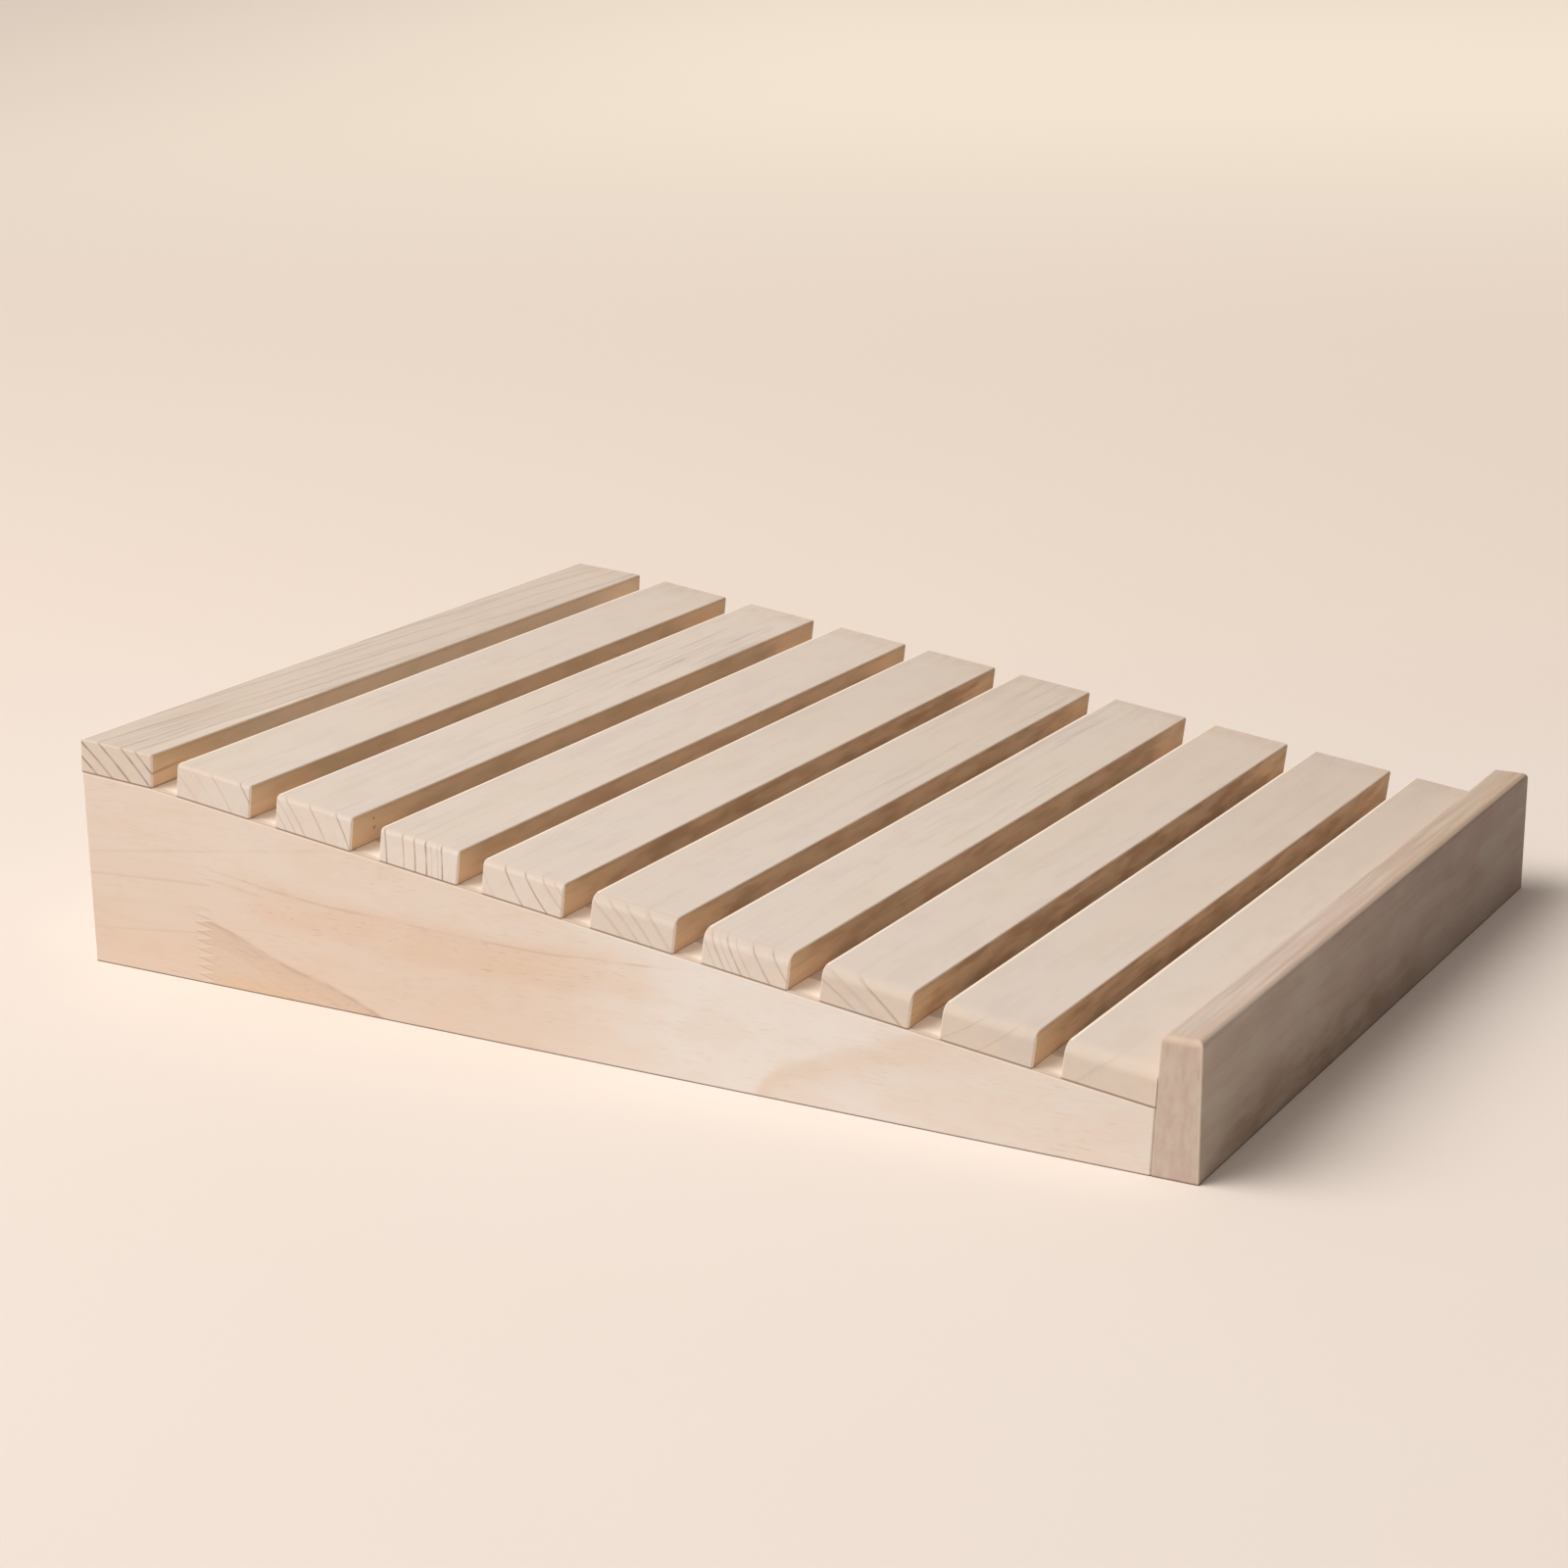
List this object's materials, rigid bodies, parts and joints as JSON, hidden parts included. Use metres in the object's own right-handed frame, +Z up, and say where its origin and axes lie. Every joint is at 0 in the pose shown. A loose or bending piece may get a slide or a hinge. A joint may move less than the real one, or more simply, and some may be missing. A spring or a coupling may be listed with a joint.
{
  "type": "bread rack",
  "caption": "Low sloping wooden counter rack for bread: spaced slats across wedge-shaped sides, with a raised lip closing the low front edge.",
  "frame": {"origin": "on the surface that the rack stands on, under the middle of its width and depth", "axes": "+Z up, +Y from the low end with the lip to the high end, +X along the slats"},
  "size_m": [0.46, 0.602, 0.1169],
  "materials": {
    "pine_slat": "planed pine, bare",
    "pine_side": "planed pine, bare",
    "pine_lip": "planed pine, bare",
    "pine_inner": "sawn and planed pine, bare",
    "beech_dowel": "turned beech",
    "zinc_screw": "zinc plated"
  },
  "bodies": {
    "root": {"back_rail": "pine_inner", "cleat_left": "pine_inner", "cleat_right": "pine_inner", "cleat_screws": "zinc_screw", "front_lip": "pine_lip", "lip_dowels": "beech_dowel", "rail_dowels": "beech_dowel", "side_left_board": "pine_side", "side_left_rear_block": "pine_side", "side_right_board": "pine_side", "side_right_rear_block": "pine_side", "slat_01": "pine_slat", "slat_02": "pine_slat", "slat_03": "pine_slat", "slat_04": "pine_slat", "slat_05": "pine_slat", "slat_06": "pine_slat", "slat_07": "pine_slat", "slat_08": "pine_slat", "slat_09": "pine_slat", "slat_10": "pine_slat", "slat_screws": "zinc_screw"}
  },
  "joints": []
}
